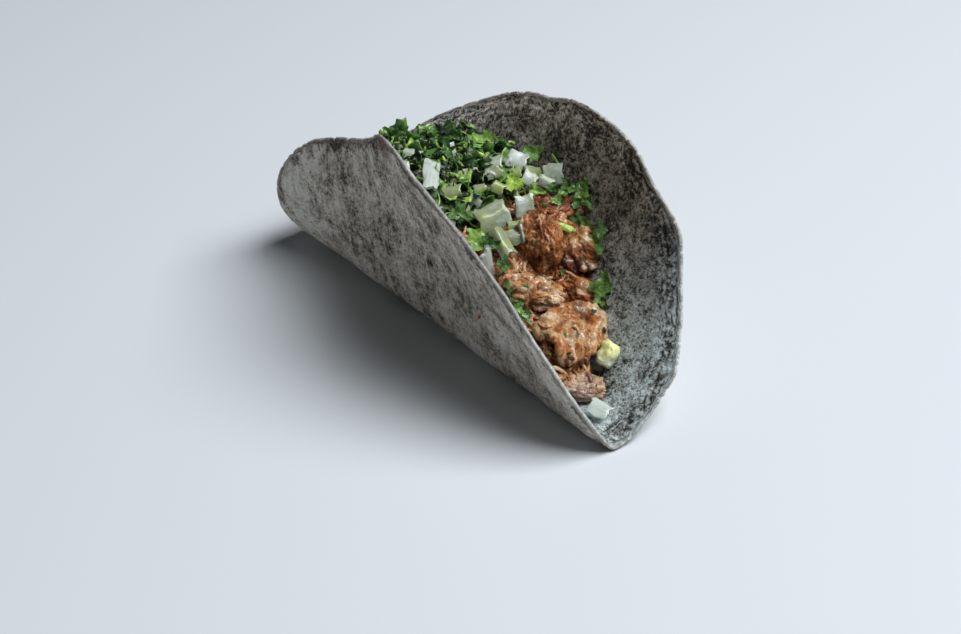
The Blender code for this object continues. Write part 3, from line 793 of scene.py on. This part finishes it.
# ------------------------
# The onion: white onion cut raw into small squares and slivers. Each is a curved bit
# of one layer, translucent and wet, with fine veins along it.
onion_white, shader = begin_material("raw_onion", {"IOR": 1.38, "Coat Roughness": 0.06},
                                     bleed=(0.3, (1.0, 1.0, 0.9), 1.2))
grain, tone = attribute("grain", "Vector"), attribute("tone")
veins = fractal(grain * (0.1, 1, 0.1), 1.3, 2, 0.6)
milky = fractal(grain, 0.3, 3)
colour = ramp(tone + (milky - 0.5) * 1.8, (
    (0.0, (0.28, 0.38, 0.08)), (0.2, (0.32, 0.39, 0.17)), (0.42, (0.27, 0.31, 0.205)),
    (0.66, (0.38, 0.44, 0.355)), (1.0, (0.56, 0.63, 0.6))))
colour = tinted(colour, (0.66, 0.72, 0.56), step(veins, 0.5, 0.62) * 0.4)
end_material(shader, {"Base Color": colour, "Roughness": 0.16 + 0.3 * milky,
                      "Coat Weight": 0.35 + 0.3 * milky}, (0.4, 0.15, veins + milky))

BEVEL = 0.14  # the cut edges' bevel, in millimetres
SHARP = radians(38)  # edges that turn more than this stay crisp


def wander(x, y, seed):
    """A smooth random vector at a place of a piece."""
    return Vector([noise.noise(Vector((x, y, seed + shift))) for shift in (0.5, 17.5, 41.5)])


def onion_cut(length, width, thick, bow, seed, along=4, wide=3, ragged=0.22):
    """A curved piece of one onion layer, in millimetres, cut square with crisp edges."""
    rows, columns = wide + 1, along + 1
    layer = rows * columns

    def spot(i, j, share, z):
        x, y = 2 * j / along - 1, 2 * i / wide - 1
        skew = wander(x * 0.8, y * 0.8, seed) * 0.3
        torn = wander(x * 2.3, y * 2.3, seed + 9) * ragged * max(abs(x), abs(y)) ** 3
        rise = bow * (1 - y * y) + 0.6 * bow * skew.z
        x, y = (x + skew.x + torn.x) * share, (y + skew.y + torn.y) * share
        return Vector((x * length / 2, y * width / 2, z + rise))

    edge = [(0, j) for j in range(along)] + [(i, along) for i in range(wide)]
    edge += [(wide, j) for j in range(along, 0, -1)] + [(i, 0) for i in range(wide, 0, -1)]
    ease = 0.2 / min(length, width)
    over = [spot(i, j, 1 - 2 * ease, thick / 2) for i in range(rows) for j in range(columns)]
    under = [spot(i, j, 1 - 2 * ease, -thick / 2) for i in range(rows) for j in range(columns)]
    walls = [spot(i, j, 1, z) for z in (thick / 2 - BEVEL, BEVEL - thick / 2) for i, j in edge]
    faces = []
    for i in range(wide):
        for j in range(along):
            a = i * columns + j
            faces.append((a, a + 1, a + 1 + columns, a + columns))
            faces.append(tuple(k + layer for k in reversed(faces[-1])))
    start, count = 2 * layer, len(edge)
    for k in range(count):
        m = (k + 1) % count
        a, b = edge[k][0] * columns + edge[k][1], edge[m][0] * columns + edge[m][1]
        faces.append((b, a, start + k, start + m))
        faces.append((start + m, start + k, start + count + k, start + count + m))
        faces.append((start + count + m, start + count + k, a + layer, b + layer))
    return over + under + walls, faces


def near(place, x, y, length, width):
    """1 at a spot of the heap, and fading to 0 round it."""
    return exp(-((place.x - x) / length) ** 2 - ((place.y - y) / width) ** 2)


def whites(place):
    """Share of onion at a place of the heap: most over its front middle and right back."""
    return max(near(place, 9, 15, 9, 9), near(place, -5, 31, 10, 9))


def open_top(place, normal):
    """Loose pieces lie on the heap's open top, and thin out towards its far end."""
    return clamp(normal.z * 2.4 - 1.1) * clamp((place.x + 52) / 14)


def onion_sow(place, normal):
    return open_top(place, normal) * (0.2 + 0.8 * whites(place))


cuts = kit("onion_cuts", [
    onion_cut(4.8, 4.2, 1.6, 0.5, 1), onion_cut(4, 3.4, 2, 0.3, 2),
    onion_cut(6, 2.8, 1.2, 0.8, 3), onion_cut(3.4, 3, 1.5, 0.3, 4),
    onion_cut(6.8, 2, 1, 0.6, 5), onion_cut(5.4, 4.6, 1.1, 1, 6)])
onion_bits = scattered("onion_bits", onion_white, cuts, [core], onion_sow, 22, 2.7, 130000.0,
                       (0.6, 1.1), 0.8, (-0.7, 1.7), (0.0, 1.0))


def laid(name, pieces, surface):
    """One mesh of pieces: (points in millimetres, faces), place in the fold frame, way of
    its X, way it faces, tone."""
    points, faces, grains, tones = [], [], [], []
    for (shape, sides), place, way, normal, tone in pieces:
        normal = Vector(normal).normalized()
        way = Vector(way) - normal * normal.dot(Vector(way))
        turn = Matrix((way.normalized(), normal.cross(way.normalized()), normal)).transposed()
        faces += [tuple(len(points) + k for k in side) for side in sides]
        grains += [p + Vector((0, 0, 9.0 * len(tones))) for p in shape]
        points += [Vector(place) * MM + FOLD_MIDDLE + turn @ (p * MM) for p in shape]
        tones += [tone] * len(shape)
    mesh = mesh_of(name, points, faces)
    own = mesh.attributes.new("grain", "FLOAT_VECTOR", "POINT")
    own.data.foreach_set("vector", np.array(grains).ravel())
    own = mesh.attributes.new("tone", "FLOAT", "POINT")
    own.data.foreach_set("value", np.array(tones))
    mesh.materials.append(surface)
    mesh.shade_smooth()
    mesh.set_sharp_from_angle(angle=SHARP)
    thing = put(name, mesh)
    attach(thing, "root")
    return thing


# Larger pieces: length, width, thickness, bow, place, way of its length, way it faces, tone
ONION_PIECES = (
    (9.5, 8, 1, 1.2, (9, 9.6, 38.6), (0.3, 1, 0.1), (0.62, -0.3, 0.75), 0.42),
    (5.8, 6.2, 1.3, 0.5, (9.8, 20.5, 38.4), (0.5, 1, 0), (0.75, -0.35, 0.6), 0.68),
    (6.5, 2.2, 0.8, 1.3, (17.6, 16.2, 36), (1, 0.5, -0.7), (0.35, -0.75, 0.55), 0.62),
    (5, 2, 0.8, 1.1, (17.6, 13.8, 35.4), (1, -0.4, -0.6), (0.45, -0.55, 0.55), 0.5),
    (9, 4.6, 0.8, 1.6, (16.2, 7.2, 34.2), (1, -0.1, -0.5), (0.45, -0.35, 0.8), 0.45),
    (6.4, 4.4, 0.8, 0.9, (16.4, 11.8, 34.3), (0.4, 1, -0.1), (0.6, -0.35, 0.65), 0.5),
    (4.6, 3, 0.9, 0.8, (14.2, 13.6, 36.6), (0.4, 1, 0), (0.6, -0.3, 0.7), 0.3),
    (5.6, 4.8, 1.7, 0.4, (-9.8, 23.9, 41.8), (0.6, 1, 0.1), (0.5, -0.35, 0.8), 0.7),
    (5.8, 5, 1.9, 0.5, (-9.3, 32.8, 40.2), (0.9, 0.4, 0), (0.5, -0.35, 0.8), 0.85),
    (4.6, 3.8, 1, 0.3, (-4.6, 20.4, 42.8), (0.3, 0.9, 0), (0.62, -0.4, 0.7), 0.52),
    (5.8, 6.4, 2, 0.6, (2.2, 37.2, 38.8), (0.3, 1, -0.1), (0.6, -0.55, 0.6), 0.74),
    (4.4, 3.6, 1.7, 0.4, (3.8, 33, 38.8), (0.9, 0.4, 0), (0.6, -0.4, 0.65), 0.62),
    (4.6, 4.2, 1.4, 0.4, (1.6, 28.6, 40.4), (1, 0.2, 0.1), (0.5, -0.35, 0.8), 0.85),
    (4, 3.2, 1.2, 0.4, (-2.6, 26.8, 41.2), (0.3, 1, 0), (0.45, -0.35, 0.85), 0.12),
    (4.8, 3, 1, 0.5, (-7, 15.5, 42.6), (1, 0.3, 0.2), (0.45, -0.35, 0.85), 0.15),
    (5, 3.4, 1, 0.6, (-4, 5, 42.4), (0.4, 1, 0), (0.5, -0.45, 0.75), 0.28),
    (5.4, 3.8, 1.1, 0.6, (-24.5, 5.5, 45.2), (1, 0.6, 0.3), (0.45, -0.35, 0.85), 0.72),
    (4, 3, 1.2, 0.3, (-33, 6, 43.4), (0.3, 1, 0.1), (0.35, -0.45, 0.85), 0.66),
    (4.2, 3.2, 0.8, 0.5, (-9.6, 10.5, 42.8), (0.4, 1, 0), (0.5, -0.4, 0.75), 0.22),
    (4, 3.4, 0.8, 0.5, (0.6, 18, 41.2), (0.9, 0.4, -0.1), (0.6, -0.35, 0.7), 0.12),
    (3.6, 2.6, 0.8, 0.4, (-1.6, 13, 41.6), (0.3, 0.9, 0.1), (0.55, -0.35, 0.75), 0.3),
    (4.2, 3, 0.9, 0.4, (4.6, -2, 38.9), (0.7, -0.3, 0.2), (0.7, 0.2, 0.65), 0.45),
)
onions = laid("onion_pieces", [
    (onion_cut(*piece[:4], 7.7 * (number + 1), along=9, wide=7), *piece[4:])
    for number, piece in enumerate(ONION_PIECES)], onion_white)

# The three with nodes of their own: a flake at the front tip and two long slivers.
# Each: node, how ragged its edge is, then as above
NAMED_ONION = (
    ("onion_flake_front", 0.2,
     (6.4, 4.6, 0.8, 0.3, (64.2, 3.9, 5.1), (0.94, 0.34, 0), (0.3, -0.3, 0.9), 1.15)),
    ("onion_sliver_front", 0.35,
     (10.5, 4.2, 1, 0.6, (19.8, -0.8, 31.6), (0.2, -0.15, 1), (0.9, 0.2, 0), 1.1)),
    ("onion_sliver_back", 0.22,
     (13.5, 4.6, 1.3, 0.7, (-10.3, 2, 45.9), (0.72, -0.65, -0.14), (0.3, 0.2, 0.95), 1.15)),
)
for number, (node, ragged, row) in enumerate(NAMED_ONION):
    cut = onion_cut(*row[:4], 3.3 + number, along=14, wide=10, ragged=ragged)
    piece = laid(node + "_cut", [(cut, *row[4:])], onion_white)
    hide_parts(node)

# ------------------------
# The coriander: fresh leaves and thin stems cut small. The bits are scraps of thin
# curled blade with pale veins; the stems are short green rods.
coriander, shader = begin_material("coriander", {"IOR": 1.42, "Coat Roughness": 0.2},
                                   bleed=(0.12, (0.4, 1.0, 0.2), 0.8))
grain, tone = attribute("grain", "Vector"), attribute("tone")
veins = step(abs(swing(grain, 0.55, 1)), 0, 0.035, 1, 0)
mottle = fractal(grain, 0.9, 2)
colour = ramp(tone + (mottle - 0.5) * 0.7, (
    (0.0, (0.006, 0.016, 0.004)), (0.25, (0.02, 0.062, 0.01)), (0.52, (0.07, 0.185, 0.032)),
    (0.78, (0.19, 0.36, 0.075)), (1.0, (0.4, 0.58, 0.08))))
colour = mix(colour, (0.24, 0.36, 0.16), veins * 0.45)
end_material(shader, {"Base Color": colour, "Roughness": 0.32 + 0.25 * mottle,
                      "Coat Weight": step(mottle, 0.4, 0.62) * 0.7},
             (0.8, 0.35, mottle - veins * 0.5))

BLADE = 0.2  # thickness of a leaf, in millimetres


def blade(size, lobes, depth, fold, curl, seed, around=14, rings=2, cut=0.45, narrow=1.0):
    """A scrap of leaf: a lobed outline cut off straight, folded along X and curled."""
    def spot(k, share):
        angle = tau * k / around
        reach = 1 - depth * (0.5 + 0.5 * cos(lobes * angle + pi))
        reach *= 1 + 0.14 * cos(3.1 * lobes * angle + seed)
        reach *= 1 + 0.5 * noise.noise(Vector((cos(angle) * 1.5, sin(angle) * 1.5, seed)))
        x = size * share * reach * cos(angle)
        y = narrow * size * share * reach * sin(angle)
        x = max(x, -cut * size * share)
        ripple = 0.32 * size * noise.noise(Vector((x / size * 2, y / size * 2, seed + 5)))
        return Vector((x, y, fold * abs(y) + curl * x * x / size + ripple))

    tops = [Vector((0, 0, 0))]
    tops += [spot(k, ring / rings) for ring in range(1, rings + 1) for k in range(around)]
    rise = Vector((0, 0, BLADE / 2))
    points = [p + rise for p in tops] + [p - rise for p in tops]
    under = len(tops)
    faces = []
    for k in range(around):
        a, b = 1 + k, 1 + (k + 1) % around
        faces.append((0, a, b))
        faces.append((under, under + b, under + a))
        for ring in range(rings - 1):
            c, d = a + ring * around, b + ring * around
            faces.append((c, c + around, d + around, d))
            faces.append((under + c, under + d, under + d + around, under + c + around))
        c, d = a + (rings - 1) * around, b + (rings - 1) * around
        faces.append((c, under + c, under + d, d))
    return points, faces


scraps = kit("leaf_scraps", [
    blade(2.4, 2, 0.3, 0.6, 0.5, 1, narrow=0.5), blade(1.7, 3, 0.4, 0.9, -0.6, 2),
    blade(2.5, 3, 0.3, 0.4, 0.9, 3, narrow=0.8), blade(1.5, 2, 0.3, 0.9, 0.3, 4, narrow=0.7),
    blade(2.5, 2, 0.5, -0.7, 1.0, 5, narrow=0.4), blade(2.6, 2, 0.6, 0.7, -1.0, 6, narrow=0.6),
    blade(2.2, 3, 0.3, 1.1, 0.4, 7), blade(2.1, 2, 0.4, -1.0, -0.4, 8, narrow=0.45)])


def bits_sow(place, normal):
    return clamp(normal.z + 0.1) * (1.0 - 0.7 * whites(place)) * clamp((place.x + 67) / 8)


def leaves_sow(place, normal):
    return open_top(place, normal) * (0.85 - 0.6 * whites(place))


def pale_sow(place, normal):
    return open_top(place, normal) * (0.75 * near(place, 1, 18, 12, 11))


stalks = kit("stems", [strand(5.5, 0.8, 0.9, 1), strand(3.5, 1.0, 0.3, 2),
                       strand(7.5, 0.7, 1.9, 3), strand(2.4, 1.2, 0.1, 4)])

# Each row as scattered takes it, without the material
LOOSE_GREEN = (
    ("herb_bits", scraps, [core], bits_sow, 31, 1.45, 600000.0, (0.6, 1.15), 1.4,
     (-0.6, 0.9), (-0.1, 0.5)),
    ("herb_leaves", scraps, [core], leaves_sow, 33, 2.9, 200000.0, (1.0, 1.9), 1.2,
     (0.6, 2.8), (-0.05, 0.84)),
    ("pale_scraps", scraps, [core], pale_sow, 61, 2.0, 400000.0, (1.0, 1.8), 0.8,
     (1.4, 3.2), (0.42, 0.98)),
    ("herb_crumbs", scraps, meat, meat_sow, 51, 3.6, 26000.0, (0.25, 0.6), 0.6,
     (0.1, 0.4), (0.2, 0.9)),
    ("herb_stems", stalks, [core], open_top, 41, 4.4, 60000.0, (0.6, 1.1), 0.5,
     (0.6, 2.2), (0.8, 1.15)),
)
for name, *how in LOOSE_GREEN:
    scattered(name, coriander, *how)

# Whole leaflets and larger scraps: size, lobes, depth, fold, curl, place, way, facing, tone
LEAVES = (
    (3.4, 3, 0.5, 0.25, 0.2, (21.8, 33.8, 31), (-0.6, 0.2, 0.8), (0.5, -0.66, 0.55), 0.55),
    (3.8, 3, 0.5, 0.2, 0.15, (26.8, 33, 29.6), (0.2, 0.5, -0.8), (0.45, -0.72, 0.5), 0.66),
    (2.8, 4, 0.5, 0.3, -0.2, (27, 34.6, 33), (0.8, 0.4, 0.4), (0.45, -0.66, 0.6), 0.5),
    (2.6, 3, 0.5, 0.4, 0.2, (17.6, 33.4, 32.8), (0.2, 0.6, 0.6), (0.5, -0.6, 0.62), 0.42),
    (3.6, 3, 0.4, 0.2, 0.15, (36.6, 26.8, 19.8), (0.5, 0.5, 0.6), (0.5, -0.62, 0.6), 0.72),
    (3, 3, 0.5, 0.45, 0.3, (36.2, 28.6, 23.2), (-0.3, 0.3, 0.8), (0.45, -0.75, 0.45), 0.6),
    (2.2, 3, 0.5, 0.45, 0.3, (38.6, 26.2, 17.2), (-0.3, 0.3, 0.8), (0.45, -0.75, 0.45), 0.2),
    (3.4, 3, 0.4, 0.3, 0.3, (-43, 11, 41.6), (-0.6, -0.2, 0.3), (0.45, -0.6, 0.6), 0.6),
    (2.8, 3, 0.4, 0.5, 0.3, (-40, 8.4, 42.2), (0.2, -0.4, 0.8), (0.6, -0.5, 0.5), 0.5),
    (3.6, 3, 0.4, 0.2, 0.4, (1.6, 23, 41.2), (0.6, 0.7, -0.2), (0.5, -0.3, 0.8), 0.98),
    (3.8, 2, 0.3, 0.2, 0.2, (13, 0.4, 36.4), (0.6, -0.2, -0.5), (0.72, 0.1, 0.6), 0.78),
    (3.2, 3, 0.45, 0.5, 0.2, (15.6, 2.8, 34.8), (0.2, 0.9, -0.2), (0.7, -0.1, 0.6), 0.35),
    (3.2, 3, 0.45, 0.5, -0.2, (4, 1.6, 40.4), (0.9, 0.2, 0.2), (0.6, -0.2, 0.7), 0.5),
    (2.8, 3, 0.5, 0.5, 0.3, (27.2, 1.6, 27.2), (0.3, -0.5, 0.7), (0.75, 0.25, 0.5), 0.48),
    (2.6, 4, 0.5, 0.6, 0.3, (29.4, 0.4, 25.4), (0.6, 0.4, -0.5), (0.7, 0.2, 0.6), 0.35),
    (2.8, 3, 0.5, 0.4, 0.2, (32.4, 0.6, 23.2), (0.5, -0.4, 0.6), (0.75, 0.2, 0.55), 0.6),
    (2.4, 3, 0.5, 0.6, 0.3, (34.6, 1, 20.8), (0.8, 0.2, -0.4), (0.7, 0.2, 0.6), 0.4),
    (2.8, 4, 0.5, 0.5, 0.3, (21.8, 3.4, 31.2), (0.4, 0.8, -0.3), (0.7, 0, 0.6), 0.4),
    (2.8, 3, 0.5, 0.3, 0.2, (14.4, 38.2, 38.4), (-0.3, 0.4, 0.8), (0.45, -0.75, 0.5), 0.75),
    (3, 4, 0.5, 0.4, -0.3, (12.6, 39.6, 38.8), (0.8, 0.3, -0.2), (0.3, -0.7, 0.65), 0.58),
    (3, 3, 0.5, 0.6, 0.3, (9, 37.8, 38), (0.4, 0.9, 0), (0.55, -0.55, 0.6), 0.5),
    (2.4, 3, 0.5, 0.4, 0.2, (16.4, 38.8, 36.2), (0.6, 0.2, -0.6), (0.45, -0.7, 0.5), 0.66),
    (3, 3, 0.4, 0.5, 0.3, (-9, 38.8, 40.4), (0.2, 0.9, 0.3), (0.4, -0.55, 0.75), 0.7),
    (3.4, 2, 0.5, 0.4, 0.6, (-21.5, 29, 43.6), (0.2, 1, 0.1), (0.4, -0.2, 0.9), 0.8),
    (3.2, 3, 0.5, 0.6, -0.4, (-26, 20.5, 45.8), (0.8, 0.5, 0.1), (0.35, -0.35, 0.85), 0.3),
    (3, 4, 0.5, 0.6, 0.4, (-19, 14.5, 46.2), (0.3, 0.9, 0.1), (0.45, -0.35, 0.8), 0.42),
    (2.2, 3, 0.5, 0.4, 0.2, (40.8, 4.6, 17.4), (0.6, 0.5, -0.4), (0.55, 0.1, 0.8), 0.55),
    (2, 3, 0.5, 0.5, 0.2, (46, 4.2, 12.6), (0.8, 0.5, -0.3), (0.45, 0.2, 0.85), 0.62),
    (2.5, 4, 0.5, 0.5, 0.3, (11, 34.8, 38.6), (0.5, 0.6, 0.1), (0.5, -0.5, 0.65), 0.64),
    (2.2, 3, 0.5, 0.5, -0.3, (8.4, 31.8, 39.4), (-0.4, 0.7, 0.3), (0.5, -0.5, 0.7), 0.46),
    (2.3, 3, 0.5, 0.4, 0.3, (12.8, 30.4, 37.8), (0.7, 0.2, -0.4), (0.5, -0.5, 0.65), 0.74),
    (2.2, 3, 0.5, 0.5, 0.2, (15.4, 35.6, 36.8), (0.2, 0.8, -0.2), (0.5, -0.6, 0.6), 0.52),
    (2.4, 3, 0.5, 0.5, 0.3, (7.2, 26.6, 40), (0.6, 0.5, -0.2), (0.55, -0.45, 0.7), 0.84),
)
leaves = laid("coriander_leaves", [
    (blade(*leaf[:5], 11.3 + number, around=26, rings=5, cut=0.9), *leaf[5:])
    for number, leaf in enumerate(LEAVES)], coriander)

# Longer stems: length, width, bow, place, way, facing, tone
STEMS = (
    (8, 2, 0.6, (22.6, 22.6, 36.5), (0.5, 0.8, -0.45), (0.6, -0.5, 0.6), 1.04),
    (5, 1.5, 0.3, (23.6, 25.2, 35.7), (0.65, 0.7, -0.45), (0.6, -0.5, 0.6), 0.98),
    (10, 0.9, 2.6, (-20, 24, 44.8), (0.2, 1, -0.1), (-0.8, 0.2, 0.4), 0.95),
    (8, 0.8, 0.5, (0.8, 39.6, 40.6), (1, -0.3, -0.6), (0.45, -0.6, 0.6), 0.72),
    (7, 0.8, 0.8, (25.4, 32.6, 26.2), (0.9, 0.2, -0.5), (0.1, -0.9, 0.4), 0.85),
)
long_stems = laid("coriander_stems", [
    (strand(*stem[:3], 2.1 * number), *stem[3:])
    for number, stem in enumerate(STEMS)], coriander)

# ------------------------
# The avocado: one soft dice at the side of the front lump of meat, with worn corners
# and yellower flesh towards its top.
avocado_flesh, shader = begin_material("avocado_flesh", {"IOR": 1.40},
                                       bleed=(0.25, (1.0, 0.9, 0.4), 1.5))
place = shade("TexCoord")["Object"] * (1 / MM)
creamy = fractal(place, 0.35, 2)
height = separate(place)[2]
colour = mix((0.66, 0.72, 0.58), (0.82, 0.84, 0.4), step(height + creamy * 5, 11.5, 16))
end_material(shader, {"Base Color": colour, "Roughness": 0.38 + 0.2 * creamy})

given = geometry_tree("soft_dice", {"Geometry": "Geometry", "Levels": 3})
dice_tree = Wire.tree
local = geo("InputPosition") * (1 / MM)
relief = swing(local, 0.2, 1, 0.5) * 2.6
relief = relief + swing(local * (1, 1, 0.2), 0.9, 2, 0.6) * 1.3
end_tree(pushed(refined(), relief))
avocado = grown("avocado_soft_dice", dice_tree, {"Surface": avocado_flesh},
                merged_copy("avocado_dice"))
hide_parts("avocado_dice")
